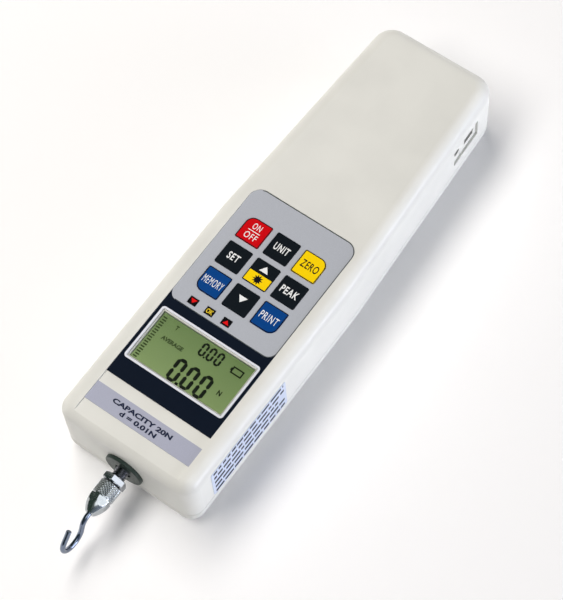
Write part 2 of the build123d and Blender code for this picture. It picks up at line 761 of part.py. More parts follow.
with BuildPart() as cell_bracket:
    with BuildSketch(Plane.YZ):
        with BuildLine():
            Polyline((cell_rear_y, bracket_foot_height), (foot_rear_y, bracket_foot_height),
                     (foot_rear_y, bracket_foot_height + bracket_foot_thickness),
                     (bracket_rear_y, bracket_foot_height + bracket_foot_thickness),
                     (bracket_rear_y, bracket_top_z), (cell_rear_y, bracket_top_z), close=True)
        make_face()
    extrude(amount=bracket_width / 2, both=True)
    fillet(cell_bracket.edges().filter_by(Axis.X).sort_by(lambda e: (e.center() - Vector(
        0, bracket_rear_y, bracket_foot_height + bracket_foot_thickness)).length)[0], bracket_plate / 2)
    with BuildSketch(across(cell_rear_y)):
        Circle(cell_bolt_radius + tongue_clearance)
    extrude(amount=-bracket_plate, mode=Mode.SUBTRACT)
    with BuildSketch(Plane.XY.offset(bracket_foot_height)):
        with Locations(*foot_screw_places):
            Circle(board_screw_radius + tongue_clearance)
    extrude(amount=bracket_foot_thickness, mode=Mode.SUBTRACT)
save(cell_bracket.part, "cell_bracket")

with BuildPart() as cell_bolt:
    with BuildSketch(across(bracket_rear_y + cell_bolt_head_length)):
        Circle(cell_bolt_head_radius)
    extrude(amount=cell_bolt_head_length)
    with BuildSketch(across(bracket_rear_y)):
        Circle(cell_bolt_radius)
    extrude(amount=bracket_plate + cell_bolt_bite - 2 * thread_clearance)
    with BuildSketch(across(bracket_rear_y + cell_bolt_head_length)):
        RegularPolygon(radius=cell_bolt_socket / 2, side_count=6, major_radius=False)
    extrude(amount=cell_bolt_head_length / 2, mode=Mode.SUBTRACT)
save(cell_bolt.part, "cell_bolt")

# ================================================================ load train
with BuildPart() as load_shaft:
    with BuildSketch(across(shaft_inner_y)):
        Circle(shaft_radius)
    extrude(amount=shaft_inner_y - shaft_outer_y)
    chamfer(load_shaft.faces().sort_by(Axis.Y)[0].edges(), shaft_radius / 6)
    chamfer(load_shaft.faces().sort_by(Axis.Y)[-1].edges(), shaft_radius / 6)
    with BuildSketch(across(collar_front_y + shaft_collar_length)):
        Circle(shaft_collar_radius)
    extrude(amount=shaft_collar_length)
save(load_shaft.part, "load_shaft")

with BuildPart() as shaft_bush:
    with BuildSketch(across(front_y)):
        Circle(bush_radius)
    extrude(amount=bush_flange)
    fillet(shaft_bush.faces().sort_by(Axis.Y)[0].edges(), bush_flange / 3)
    with BuildSketch(across(front_y)):
        Circle(bush_spigot_radius)
    extrude(amount=-side_wall - bush_flange / 2)
    with BuildSketch(across(front_y - bush_flange)):
        Circle(shaft_radius + bush_bore_clearance)
    extrude(amount=-side_wall - 2 * bush_flange, mode=Mode.SUBTRACT)
save(shaft_bush.part, "shaft_bush")

with BuildPart() as lock_nut:
    with BuildSketch(across(nut_rear_y)):
        RegularPolygon(radius=nut_across_flats / 2, side_count=6, major_radius=False)
    extrude(amount=nut_length)
    # turned chamfer over the corners at both ends
    with BuildSketch(Plane.YZ) as nut_cutter:
        corner = nut_across_flats / 2 / cos(radians(30))
        edge = corner - nut_across_flats / 2
        with BuildLine():
            Polyline((nut_rear_y, axis_height + nut_across_flats / 2),
                     (nut_rear_y, axis_height + corner + edge),
                     (nut_front_y, axis_height + corner + edge),
                     (nut_front_y, axis_height + nut_across_flats / 2),
                     (nut_front_y + edge, axis_height + corner + edge / 2),
                     (nut_rear_y - edge, axis_height + corner + edge / 2), close=True)
        make_face()
    revolve(axis=pull_axis, mode=Mode.SUBTRACT)
    with BuildSketch(across(nut_rear_y)):
        Circle(shaft_radius + shaft_fit)
    extrude(amount=nut_length, mode=Mode.SUBTRACT)
save(lock_nut.part, "lock_nut")

with BuildPart() as hook_adaptor:
    groove_radius = adaptor_radius - adaptor_groove_depth
    lead = adaptor_groove_depth
    with BuildSketch(Plane.YZ):
        with BuildLine():
            body_line = Polyline((nose_y, axis_height), (adaptor_rear_y, axis_height),
                                 (adaptor_rear_y, axis_height + adaptor_radius - lead),
                                 (adaptor_rear_y - lead, axis_height + adaptor_radius),
                                 (groove_rear_y, axis_height + adaptor_radius),
                                 (groove_rear_y, axis_height + groove_radius),
                                 (groove_front_y, axis_height + groove_radius),
                                 (groove_front_y, axis_height + adaptor_radius))
            nose_line = TangentArc(body_line @ 1, (nose_y, axis_height + adaptor_nose_radius),
                                   tangent=(-1, 0))
            Line(nose_line @ 1, body_line @ 0)
        make_face()
    revolve(axis=pull_axis)
    # six flats for a spanner, just ahead of the groove
    with BuildSketch(across(groove_front_y)):
        Circle(adaptor_radius + lead)
        RegularPolygon(radius=adaptor_flats / 2, side_count=6, major_radius=False,
                       mode=Mode.SUBTRACT)
    extrude(amount=adaptor_flats_length, mode=Mode.SUBTRACT)
    with BuildSketch(across(adaptor_rear_y)):
        Circle(shaft_radius + shaft_fit)
    extrude(amount=adaptor_thread_depth, mode=Mode.SUBTRACT)
    with BuildSketch(across(nose_y)):
        Circle(wire_radius + thread_clearance)
    extrude(amount=-wire_root, mode=Mode.SUBTRACT)
save(hook_adaptor.part, "hook_adaptor")

with BuildPart() as wire_hook:
    # the bow's middle, and the point where the slanted shank meets the bow
    bow_y, bow_z = nose_y - hook_reach, axis_height - hook_drop
    shank_run, shank_rise = hook_reach - wire_lead, hook_drop
    shank_angle = atan2(shank_rise, shank_run) + asin(hook_radius / hypot(shank_run, shank_rise))
    meet_y = bow_y + hook_radius * sin(shank_angle)
    meet_z = bow_z - hook_radius * cos(shank_angle)
    with BuildLine(Plane.YZ) as hook_line:
        shank = FilletPolyline((nose_y + wire_root - thread_clearance, axis_height),
                               (nose_y - wire_lead, axis_height), (meet_y, meet_z),
                               radius=wire_bend_radius)
        bow = CenterArc((bow_y, bow_z), hook_radius, degrees(shank_angle) - 90,
                        -degrees(shank_angle) - 90 - hook_tip_angle)
        tip = Line(bow @ 1, bow @ 1 + (bow % 1) * hook_tip_length)
    with BuildSketch(Plane(origin=hook_line.line @ 0, z_dir=hook_line.line % 0)):
        Circle(wire_radius)
    sweep(path=hook_line.line)
    fillet(wire_hook.faces().filter_by(GeomType.PLANE).sort_by(Axis.Y)[0].edges(), wire_radius / 3)
save(wire_hook.part, "wire_hook")

# ================================================================ fasteners and inserts
with BuildPart() as case_screws:
    with BuildSketch(Plane.XY.offset(case_screw_sink - case_screw_head_height)):
        with Locations(*case_screw_places):
            Circle(case_screw_head_radius)
    extrude(amount=case_screw_head_height)
    with BuildSketch(Plane.XY.offset(case_screw_sink)):
        with Locations(*case_screw_places):
            Circle(case_screw_radius)
    extrude(amount=case_screw_length)
    with BuildSketch(Plane.XY.offset(case_screw_sink - case_screw_head_height)):
        with Locations(*case_screw_places):
            RegularPolygon(radius=case_screw_socket / 2, side_count=6, major_radius=False)
    extrude(amount=case_screw_head_height / 2, mode=Mode.SUBTRACT)
save(case_screws.part, "case_screws")


def pan_screws(places, seat_z, down, grip):
    """Small screws with their heads against seat_z; down tells which way the shanks go."""
    way = -1 if down else 1
    with BuildPart() as screws:
        with BuildSketch(Plane.XY.offset(seat_z)):
            with Locations(*places):
                Circle(board_screw_head_radius)
        extrude(amount=-way * board_screw_head_height)
        with BuildSketch(Plane.XY.offset(seat_z)):
            with Locations(*places):
                Circle(board_screw_radius)
        extrude(amount=way * (grip + board_screw_bite - 2 * thread_clearance))
    return screws.part


save(pan_screws(board_boss_places, key_board_bottom_z, False, key_board_thickness),
     "key_board_screws")
save(pan_screws(main_board_places, board_parts_z, True, main_board_thickness),
     "main_board_screws")
save(pan_screws(foot_screw_places, bracket_foot_height + bracket_foot_thickness, True,
                bracket_foot_thickness), "bracket_screws")

with BuildPart() as mounting_inserts:
    with BuildSketch(Plane.XY):
        with Locations(*insert_places):
            Circle(insert_radius)
            Circle(insert_bore_radius, mode=Mode.SUBTRACT)
    extrude(amount=insert_length)
save(mounting_inserts.part, "mounting_inserts")

# ================================================================ side label
with BuildPart() as side_label:
    label_bottom_z = seam_height + label_low_margin
    label_top_z = body_height - top_edge_radius - label_top_margin
    with BuildSketch(Plane(origin=(body_width / 2, front_y + label_front_inset + label_length / 2,
                                   (label_bottom_z + label_top_z) / 2),
                           x_dir=(0, 1, 0), z_dir=(1, 0, 0))):
        RectangleRounded(label_length, label_top_z - label_bottom_z, label_corner_radius)
    extrude(amount=label_thickness)
save(side_label.part, "side_label")
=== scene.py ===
import bmesh
import bpy
import random
from math import atan2, cos, hypot, pi
from mathutils import Matrix, Vector


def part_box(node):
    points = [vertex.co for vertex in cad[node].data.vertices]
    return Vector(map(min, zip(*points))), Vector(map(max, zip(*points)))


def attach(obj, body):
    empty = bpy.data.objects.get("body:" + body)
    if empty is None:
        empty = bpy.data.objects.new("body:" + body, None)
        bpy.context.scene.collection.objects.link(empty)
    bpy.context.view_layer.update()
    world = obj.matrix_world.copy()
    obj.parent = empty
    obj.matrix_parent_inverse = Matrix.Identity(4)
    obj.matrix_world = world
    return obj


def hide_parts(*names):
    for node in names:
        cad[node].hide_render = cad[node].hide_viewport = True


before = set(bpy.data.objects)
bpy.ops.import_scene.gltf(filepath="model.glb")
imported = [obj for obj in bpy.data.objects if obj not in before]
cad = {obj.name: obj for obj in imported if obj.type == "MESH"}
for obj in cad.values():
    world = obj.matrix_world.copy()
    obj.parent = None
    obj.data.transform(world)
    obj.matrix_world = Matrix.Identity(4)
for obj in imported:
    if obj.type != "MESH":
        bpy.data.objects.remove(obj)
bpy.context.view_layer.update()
scene = bpy.context.scene
MM = 0.001
HOUSING = "housing"
AXIS_Z = 0.018               # height of the axis of pull
INK = 0.02 * MM              # thickness of printing
MERGE = 1e-7                 # points closer than this become one
RING_SCALE = 0.31            # scale of the ring pattern that gives one ring a unit

# ---------------------------------------------------------------- camera
eye = bpy.data.cameras.new("eye")
eye.sensor_width = 36.0
eye.lens = 127.5
eye.clip_end = 20.0
camera = bpy.data.objects.new("camera", eye)
scene.collection.objects.link(camera)
camera.matrix_world = Matrix((
    (0.8089, -0.5120, 0.2890, 0.25594),
    (0.5863, 0.7394, -0.3311, -0.30067),
    (-0.0442, 0.4372, 0.8983, 0.79058),
    (0.0, 0.0, 0.0, 1.0)))
scene.camera = camera

# ---------------------------------------------------------------- finishes


def srgb(red, green, blue):
    """A colour given in 0 to 255, as the shader takes it."""
    def linear(c):
        c /= 255.0
        return c / 12.92 if c <= 0.04045 else ((c + 0.055) / 1.055) ** 2.4
    return (linear(red), linear(green), linear(blue), 1.0)


def shade(colour, amount):
    """The colour made darker, or lighter where amount is over 1."""
    return tuple(c * amount for c in colour[:3]) + (1.0,)


def blank(name):
    """A new material, with its node tree and its shader."""
    material = bpy.data.materials.new(name)
    material.use_nodes = True
    tree = material.node_tree
    return material, tree, tree.nodes["Principled BSDF"]


def noise(tree, size_mm, detail=2.0, stretch=(1.0, 1.0, 1.0)):
    """Noise whose spots are about size_mm across, longer where stretch is over 1."""
    where = tree.nodes.new("ShaderNodeTexCoord")
    turn = tree.nodes.new("ShaderNodeMapping")
    turn.inputs["Scale"].default_value = [1.0 / s for s in stretch]
    spots = tree.nodes.new("ShaderNodeTexNoise")
    spots.inputs["Scale"].default_value = 1.0 / (size_mm * MM)
    spots.inputs["Detail"].default_value = detail
    tree.links.new(where.outputs["Object"], turn.inputs["Vector"])
    tree.links.new(turn.outputs["Vector"], spots.inputs["Vector"])
    return spots.outputs["Fac"]


def spread(tree, value, low, high, source=(0.3, 0.7)):
    """Maps the middle of a pattern to a range."""
    node = tree.nodes.new("ShaderNodeMapRange")
    node.inputs["From Min"].default_value = source[0]
    node.inputs["From Max"].default_value = source[1]
    node.inputs["To Min"].default_value = low
    node.inputs["To Max"].default_value = high
    tree.links.new(value, node.inputs["Value"])
    return node.outputs["Result"]


def tinted(tree, value, first, second, source=(0.35, 0.65)):
    """A colour that runs from first to second over a pattern."""
    ramp = tree.nodes.new("ShaderNodeValToRGB")
    ramp.color_ramp.elements[0].position = source[0]
    ramp.color_ramp.elements[0].color = first
    ramp.color_ramp.elements[1].position = source[1]
    ramp.color_ramp.elements[1].color = second
    tree.links.new(value, ramp.inputs["Fac"])
    return ramp.outputs["Color"]


def relief(tree, shader, value, depth_mm, strength=1.0):
    """Bumps of about depth_mm from a pattern, over any that came before."""
    bump = tree.nodes.new("ShaderNodeBump")
    bump.inputs["Distance"].default_value = depth_mm * MM
    bump.inputs["Strength"].default_value = strength
    tree.links.new(value, bump.inputs["Height"])
    for link in list(shader.inputs["Normal"].links):
        tree.links.new(link.from_socket, bump.inputs["Normal"])
    tree.links.new(bump.outputs["Normal"], shader.inputs["Normal"])


def moulded(name, colour, rough=0.42, grain_mm=0.35, grain_depth=0.012, mottle=0.03):
    """Moulded or printed plastic: a soft mottle, a fine grain and uneven sheen."""
    material, tree, shader = blank(name)
    tree.links.new(tinted(tree, noise(tree, 26.0, 3.0), shade(colour, 1.0 - mottle),
                          shade(colour, 1.0 + mottle)), shader.inputs["Base Color"])
    tree.links.new(spread(tree, noise(tree, 7.0, 4.0), rough - 0.05, rough + 0.05),
                   shader.inputs["Roughness"])
    relief(tree, shader, noise(tree, grain_mm, 2.0), grain_depth)
    return material


def film(name, colour, rough=0.34, speckle=0.06, speckle_mm=0.22, sheen=0.12):
    """Printed film: ink with a fine speckle over a nearly flat sheet."""
    material, tree, shader = blank(name)
    tree.links.new(tinted(tree, noise(tree, speckle_mm, 1.0), shade(colour, 1.0 - speckle),
                          shade(colour, 1.0 + speckle)), shader.inputs["Base Color"])
    tree.links.new(spread(tree, noise(tree, 9.0, 3.0), rough - 0.04, rough + 0.04),
                   shader.inputs["Roughness"])
    relief(tree, shader, noise(tree, 1.4, 2.0), 0.01, 0.4)
    shader.inputs["Specular IOR Level"].default_value = sheen
    return material


def bare_metal(name, colour, rough=0.25, line_mm=0.25, line_depth=0.004, stretch=(1, 1, 1)):
    """Metal with fine tool lines; stretch draws them out along an axis."""
    material, tree, shader = blank(name)
    shader.inputs["Metallic"].default_value = 1.0
    tree.links.new(tinted(tree, noise(tree, 3.0, 3.0), shade(colour, 0.92), shade(colour, 1.04)),
                   shader.inputs["Base Color"])
    tree.links.new(spread(tree, noise(tree, 1.6, 4.0, stretch), rough * 0.75, rough * 1.3),
                   shader.inputs["Roughness"])
    relief(tree, shader, noise(tree, line_mm, 2.0, stretch), line_depth)
    return material


def turned_rings(name, colour, metallic, rough, centre, pitch_mm, depth_mm):
    """A lathe-turned face, with rings round the axis of pull."""
    material, tree, shader = blank(name)
    shader.inputs["Metallic"].default_value = metallic
    where = tree.nodes.new("ShaderNodeTexCoord")
    shift = tree.nodes.new("ShaderNodeMapping")
    shift.inputs["Location"].default_value = [-c for c in centre]
    rings = tree.nodes.new("ShaderNodeTexWave")
    rings.wave_type, rings.rings_direction = "RINGS", "Y"
    rings.inputs["Scale"].default_value = RING_SCALE / (pitch_mm * MM)
    rings.inputs["Distortion"].default_value = 0.4
    tree.links.new(where.outputs["Object"], shift.inputs["Vector"])
    tree.links.new(shift.outputs["Vector"], rings.inputs["Vector"])
    relief(tree, shader, rings.outputs["Fac"], depth_mm)
    tree.links.new(tinted(tree, noise(tree, 2.4, 3.0), shade(colour, 0.88), shade(colour, 1.08)),
                   shader.inputs["Base Color"])
    tree.links.new(spread(tree, noise(tree, 1.2, 3.0), rough - 0.05, rough + 0.07),
                   shader.inputs["Roughness"])
    return material


shell_plastic = moulded("shell_plastic", srgb(225, 225, 219), 0.40)
back_plastic = moulded("back_plastic", srgb(221, 221, 215), 0.46, 0.5, 0.03)
keypad_grey = film("keypad_grey", srgb(178, 182, 190), 0.40, 0.045)
display_navy = film("display_navy", srgb(14, 22, 36), 0.34, 0.10)
strip_lilac = film("strip_lilac", srgb(172, 175, 192), 0.40, 0.04)
bezel_silver = film("bezel_silver", srgb(226, 229, 237), 0.28, 0.03)
key_red = film("key_red", srgb(204, 4, 15), 0.36, 0.05)
key_black = film("key_black", srgb(17, 23, 29), 0.36, 0.12)
key_yellow = film("key_yellow", srgb(251, 213, 6), 0.36, 0.03)
key_blue = film("key_blue", srgb(4, 65, 134), 0.36, 0.06)
ink_black = film("ink_black", srgb(16, 18, 24), 0.40, 0.10, 0.1)
ink_white = film("ink_white", srgb(238, 240, 240), 0.42, 0.02, 0.1)
ink_navy = film("ink_navy", srgb(38, 44, 66), 0.42, 0.05, 0.1)
ink_faint = film("ink_faint", srgb(58, 74, 42), 0.40, 0.06, 0.2)
ink_segment = film("ink_segment", srgb(7, 11, 6), 0.35, 0.10, 0.3)
ink_red = film("ink_red", srgb(228, 18, 20), 0.36, 0.06, 0.2)
ink_yellow = film("ink_yellow", srgb(238, 205, 50), 0.36, 0.05, 0.2)
# painted shade, not print: dark grey for the shadow line along the sunk keypad panel's edge
painted_edge_shade = film("painted_edge_shade", srgb(62, 68, 70), 0.40, 0.08, 0.2)
ink_label = film("ink_label", srgb(12, 18, 44), 0.45, 0.08, 0.2)
label_blue = film("label_blue", srgb(203, 212, 230), 0.38, 0.02)
bush_green = turned_rings("bush_green", srgb(46, 60, 54), 0.30, 0.42,
                          (0.0, -0.11, AXIS_Z), 0.5, 0.010)
shaft_steel = bare_metal("shaft_steel", srgb(120, 122, 128), 0.28, 0.2, 0.003)
nut_chrome = bare_metal("nut_chrome", srgb(176, 180, 186), 0.17, 0.3, 0.003, (6, 1, 6))
knurl_chrome = bare_metal("knurl_chrome", srgb(176, 181, 184), 0.20, 0.12, 0.001)
wire_chrome = bare_metal("wire_chrome", srgb(122, 132, 150), 0.14, 0.3, 0.002)
screw_steel = bare_metal("screw_steel", srgb(176, 178, 182), 0.30)
dome_steel = bare_metal("dome_steel", srgb(196, 198, 200), 0.25)
insert_brass = bare_metal("insert_brass", srgb(212, 176, 96), 0.28, 0.3)
cell_alloy = bare_metal("cell_alloy", srgb(206, 208, 212), 0.33, 0.4, 0.006, (1, 8, 1))
bracket_alloy = bare_metal("bracket_alloy", srgb(196, 198, 202), 0.38, 0.4, 0.006, (1, 8, 1))
frame_steel = bare_metal("frame_steel", srgb(170, 172, 176), 0.36)
board_green = moulded("board_green", srgb(24, 92, 52), 0.38, 0.6, 0.02, 0.08)
chip_black = moulded("chip_black", srgb(30, 30, 33), 0.55, 0.25, 0.02, 0.08)
window_black = film("window_black", srgb(14, 14, 17), 0.30, 0.08)
lamp_clear = moulded("lamp_clear", srgb(226, 222, 205), 0.25)
sleeve_blue = film("sleeve_blue", srgb(34, 70, 140), 0.25, 0.05)
foam_black = moulded("foam_black", srgb(32, 32, 34), 0.85, 0.5, 0.15, 0.15)
socket_grey = moulded("socket_grey", srgb(196, 198, 199), 0.45, 0.3, 0.02, 0.04)


DISPLAY_FRONT, DISPLAY_REAR = -0.0765, -0.0515


def display_face():
    """Green reflective display: a little darker to the rear, where the bezel shades it."""
    material, tree, shader = blank("display_green")
    where = tree.nodes.new("ShaderNodeTexCoord")
    axes = tree.nodes.new("ShaderNodeSeparateXYZ")
    tree.links.new(where.outputs["Object"], axes.inputs["Vector"])
    fall = spread(tree, axes.outputs["Y"], 0.0, 1.0, (DISPLAY_FRONT, DISPLAY_REAR))
    blend = tree.nodes.new("ShaderNodeMath")
    blend.operation = "MULTIPLY_ADD"
    tree.links.new(noise(tree, 5.0, 2.0), blend.inputs[0])
    blend.inputs[1].default_value = 0.12
    tree.links.new(fall, blend.inputs[2])
    tree.links.new(tinted(tree, blend.outputs[0], srgb(139, 164, 105), srgb(113, 140, 84),
                          (0.05, 1.05)), shader.inputs["Base Color"])
    shader.inputs["Roughness"].default_value = 0.30
    relief(tree, shader, noise(tree, 0.25, 1.0), 0.004)
    return material


def clear_window():
    """Thin clear sheet that light and shadow pass through."""
    material, tree, shader = blank("window_clear")
    tree.links.new(tinted(tree, noise(tree, 12.0, 2.0), srgb(70, 82, 66), srgb(78, 90, 74)),
                   shader.inputs["Base Color"])
    tree.links.new(spread(tree, noise(tree, 6.0, 2.0), 0.06, 0.12), shader.inputs["Roughness"])
    shader.inputs["Alpha"].default_value = 0.06
    shader.inputs["Specular IOR Level"].default_value = 0.25
    return material


display_green = display_face()
window_clear = clear_window()

FINISHES = {
    "front_shell": shell_plastic, "back_shell": back_plastic, "keypad_foil": keypad_grey,
    "display_foil": display_navy, "label_strip": strip_lilac, "display_bezel": bezel_silver,
    "display_lens": window_clear, "display_glass": display_green, "display_module": frame_steel,
    "indicator_low": window_black, "indicator_ok": window_black, "indicator_high": window_black,
    "indicator_lamps": lamp_clear, "key_domes": dome_steel, "key_board": board_green,
    "main_board": board_green, "socket_board": board_green, "main_board_parts": chip_black,
    "key_board_screws": screw_steel, "main_board_screws": screw_steel,
    "bracket_screws": screw_steel, "case_screws": screw_steel, "cell_bolt": screw_steel,
    "battery_pack": sleeve_blue, "battery_pad": foam_black, "load_cell": cell_alloy,
    "cell_bracket": bracket_alloy, "load_shaft": shaft_steel, "shaft_bush": bush_green,
    "lock_nut": nut_chrome, "hook_adaptor": knurl_chrome, "wire_hook": wire_chrome,
    "mounting_inserts": insert_brass, "charger_jack": socket_grey,
    "serial_socket": socket_grey, "side_label": label_blue, "key_on_off": key_red,
    "key_unit": key_black, "key_zero": key_yellow, "key_set": key_black, "key_up": key_black,
    "key_peak": key_black, "key_memory": key_blue, "key_down": key_black, "key_print": key_blue,
}
for node, finish in FINISHES.items():
    if not cad[node].material_slots:
        cad[node].data.materials.append(finish)
    for place in cad[node].material_slots:
        place.material = finish

# ---------------------------------------------------------------- making pieces


def piece(name, form, body, finish, smooth=False):
    """Closes a bmesh, or takes a mesh, as a piece that rides on a body."""
    if isinstance(form, bmesh.types.BMesh):
        bmesh.ops.remove_doubles(form, verts=form.verts, dist=MERGE)
        bmesh.ops.recalc_face_normals(form, faces=form.faces)
        mesh = bpy.data.meshes.new(name)
        form.to_mesh(mesh)
        form.free()
    else:
        mesh = form
    mesh.materials.clear()
    mesh.materials.append(finish)
    for face in mesh.polygons:
        face.use_smooth = smooth
    made = bpy.data.objects.new(name, mesh)
    scene.collection.objects.link(made)
    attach(made, body)
    return made


def stamp(sheet, shape):
    """Adds a finished shape to a sheet of shapes."""
    mesh = bpy.data.meshes.new("stamp")
    shape.to_mesh(mesh)
    shape.free()
    sheet.from_mesh(mesh)
    bpy.data.meshes.remove(mesh)


def thicken(shape, thickness=INK):
    """Gives a flat shape its thickness upwards, as a closed body."""
    grown = bmesh.ops.extrude_face_region(shape, geom=shape.faces[:], use_keep_orig=True)
    top = [g for g in grown["geom"] if isinstance(g, bmesh.types.BMVert)]
    bmesh.ops.translate(shape, vec=(0, 0, thickness), verts=top)
    return shape


def patch(centre, width, length, radii=(0, 0, 0, 0)):
    """A flat rectangle; radii go round its corners from the front left."""
    shape = bmesh.new()
    bmesh.ops.create_grid(shape, x_segments=1, y_segments=1, size=0.5)
    bmesh.ops.scale(shape, vec=(width, length, 1), verts=shape.verts)
    corners = sorted(shape.verts, key=lambda v: atan2(v.co.y, v.co.x))
    for corner, radius in zip(corners, radii):
        if radius:
            bmesh.ops.bevel(shape, geom=[corner], offset=radius, segments=8, profile=0.5,
                            affect="VERTICES", material=-1)
    bmesh.ops.translate(shape, vec=centre, verts=shape.verts)
    return shape


def frame_of(shape, line):
    """Leaves only a line of a given width round a flat shape's edge."""
    inner = list(shape.faces)
    bmesh.ops.inset_region(shape, faces=inner, thickness=line, use_even_offset=True,
                           use_boundary=True)
    bmesh.ops.delete(shape, geom=inner, context="FACES")
    return shape


def rayed(centre, points, outer, inner):
    """A flat star."""
    shape = bmesh.new()
    bmesh.ops.create_circle(shape, cap_ends=True, segments=2 * points, radius=1.0)
    for i, v in enumerate(sorted(shape.verts, key=lambda v: atan2(v.co.y, v.co.x))):
        v.co *= outer if i % 2 else inner
    bmesh.ops.translate(shape, vec=centre, verts=shape.verts)
    return shape


def arrowhead(centre, width, length, up=True):
    """A flat triangle that points to the rear, or to the front."""
    shape = bmesh.new()
    bmesh.ops.create_circle(shape, cap_ends=True, segments=3, radius=1.0)
    tip = max(shape.verts, key=lambda v: v.co.y)
    for v in shape.verts:
        v.co = (0, 0.5, 0) if v is tip else (0.5 if v.co.x > 0 else -0.5, -0.5, 0)
    bmesh.ops.scale(shape, vec=(width, length if up else -length, 1), verts=shape.verts)
    bmesh.ops.translate(shape, vec=centre, verts=shape.verts)
    return shape


def bar(centre, length, width, upright):
    """One bar of a display digit, pointed at both ends."""
    shape = bmesh.new()
    bmesh.ops.create_circle(shape, cap_ends=True, segments=6, radius=1.0)
    for v in shape.verts:
        point = abs(v.co.x) < 0.1
        along = (1 if v.co.y > 0 else -1) * (length / 2 - (0 if point else width / 2))
        side = 0.0 if point else (1 if v.co.x > 0 else -1) * width / 2
        v.co = (side, along, 0) if upright else (along, side, 0)
    bmesh.ops.translate(shape, vec=centre, verts=shape.verts)
    return shape


SIZE_PER_CAPITAL = 1.35      # the font's size for a capital of height 1


def lettering(words, width, height, centre, weight=0.0, spacing=1.0):
    """Flat letters as a mesh, stretched to a width and height about a centre."""
    curve = bpy.data.curves.new("letters", "FONT")
    curve.body = words
    curve.size = height * SIZE_PER_CAPITAL
    curve.offset = weight
    curve.space_character = spacing
    curve.extrude = INK / 2
    curve.resolution_u = 5
    writer = bpy.data.objects.new("letters", curve)
    scene.collection.objects.link(writer)
    bpy.context.view_layer.update()
    mesh = bpy.data.meshes.new_from_object(
        writer.evaluated_get(bpy.context.evaluated_depsgraph_get()))
    bpy.data.objects.remove(writer)
    low = Vector([min(v.co[i] for v in mesh.vertices) for i in range(3)])
    high = Vector([max(v.co[i] for v in mesh.vertices) for i in range(3)])
    stretch = Matrix.Diagonal((width / (high.x - low.x), height / (high.y - low.y), 1, 1))
    mesh.transform(Matrix.Translation(centre) @ stretch
                   @ Matrix.Translation((-(low.x + high.x) / 2, -(low.y + high.y) / 2, -low.z)))
    return mesh


def turned(profile, steps):
    """Spins a list of (place along Y, radius) round the axis of pull."""
    shape = bmesh.new()
    verts = [shape.verts.new((0, y, AXIS_Z + r)) for y, r in profile]
    edges = [shape.edges.new(pair) for pair in zip(verts, verts[1:])]
    bmesh.ops.spin(shape, geom=verts + edges, cent=(0, 0, AXIS_Z), axis=(0, 1, 0),
                   angle=2 * pi, steps=steps, use_merge=True, use_duplicate=False)
    bmesh.ops.remove_doubles(shape, verts=shape.verts, dist=MERGE)
    return shape


def around(v):
    """A point's distance from the axis of pull, and its turn about it in full turns."""
    across, up = v.co.x, v.co.z - AXIS_Z
    return hypot(across, up), atan2(across, up) / (2 * pi)


def draw_in(v, reach, new):
    """Moves a point straight towards the axis of pull, from one distance to another."""
    v.co.x *= new / reach
    v.co.z = AXIS_Z + (v.co.z - AXIS_Z) * new / reach


def hexagon(turn, flats):
    """Distance to a hexagon's edge, where flats is half its width across the flats."""
    side = (turn * 6) % 1.0 - 0.5
    return flats / cos(side * pi / 3)


def rows(start, end, step):
    """Places from start to end, about a step apart."""
    count = max(1, round(abs(end - start) / step))
    return [start + (end - start) * i / count for i in range(count + 1)]


def notch(value):
    """0 at whole numbers, rising to 1 halfway between them."""
    part = value % 1.0
    return 1.0 - abs(2.0 * part - 1.0)


def top_of(node):
    """The middle of a node's top."""
    low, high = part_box(node)
    return (low.x + high.x) / 2, (low.y + high.y) / 2, high.z


# ---------------------------------------------------------------- printing on the keys
KEY_SPACING = 1.16           # gaps between the letters
KEY_CORNER, KEY_ROUND_CORNER = 0.6 * MM, 3.6 * MM
RULE = (5.6 * MM, 0.35 * MM)
OUTLINE_SIZE, OUTLINE_LINE = 11.14 * MM, 0.34 * MM
OUTLINE_SUNK, OUTLINE_THICKNESS = 0.012 * MM, 0.018 * MM
ARROW = (4.1 * MM, 2.9 * MM)
LIGHT_PATCH, LIGHT_PATCH_REAR = (10.5 * MM, 5.0 * MM), -2.75 * MM
SUN_RAYS, SUN_OUTER, SUN_INNER = 10, 2.4 * MM, 1.25 * MM

# key, words, width, height, place to the right and to the rear, weight: in millimetres
KEY_LETTERS = (
    ("key_on_off", "ON", 3.9, 2.9, 0.0, 2.35, 0.02, ink_white, "key_red"),
    ("key_on_off", "OFF", 5.8, 2.9, 0.0, -2.45, 0.02, ink_white, "key_red"),
    ("key_unit", "UNIT", 7.0, 3.4, 0.0, 0.0, 0.09, ink_white, "key_black"),
    ("key_zero", "ZERO", 8.0, 3.6, 0.0, 0.0, 0.07, ink_black, "key_yellow"),
    ("key_set", "SET", 5.3, 3.4, 0.0, 0.0, 0.09, ink_white, "key_black"),
    ("key_peak", "PEAK", 8.1, 3.4, 0.0, 0.0, 0.09, ink_white, "key_black"),
    ("key_memory", "MEMORY", 9.2, 3.5, 0.0, 0.0, 0.0, ink_white, "key_blue"),
    ("key_print", "PRINT", 8.3, 3.4, 0.0, 0.0, 0.02, ink_white, "key_blue"),
)
for key, words, width, height, right, rear, weight, ink, slot in KEY_LETTERS:
    x, y, top = top_of(key)
    piece(f"{key}_word_{words.lower()}",
          lettering(words, width * MM, height * MM, (x + right * MM, y + rear * MM, top),
                    weight * MM, KEY_SPACING),
          key + "_body", ink)

piece("key_on_off_rule", thicken(patch(top_of("key_on_off"), *RULE)), "key_on_off_body",
      ink_white)

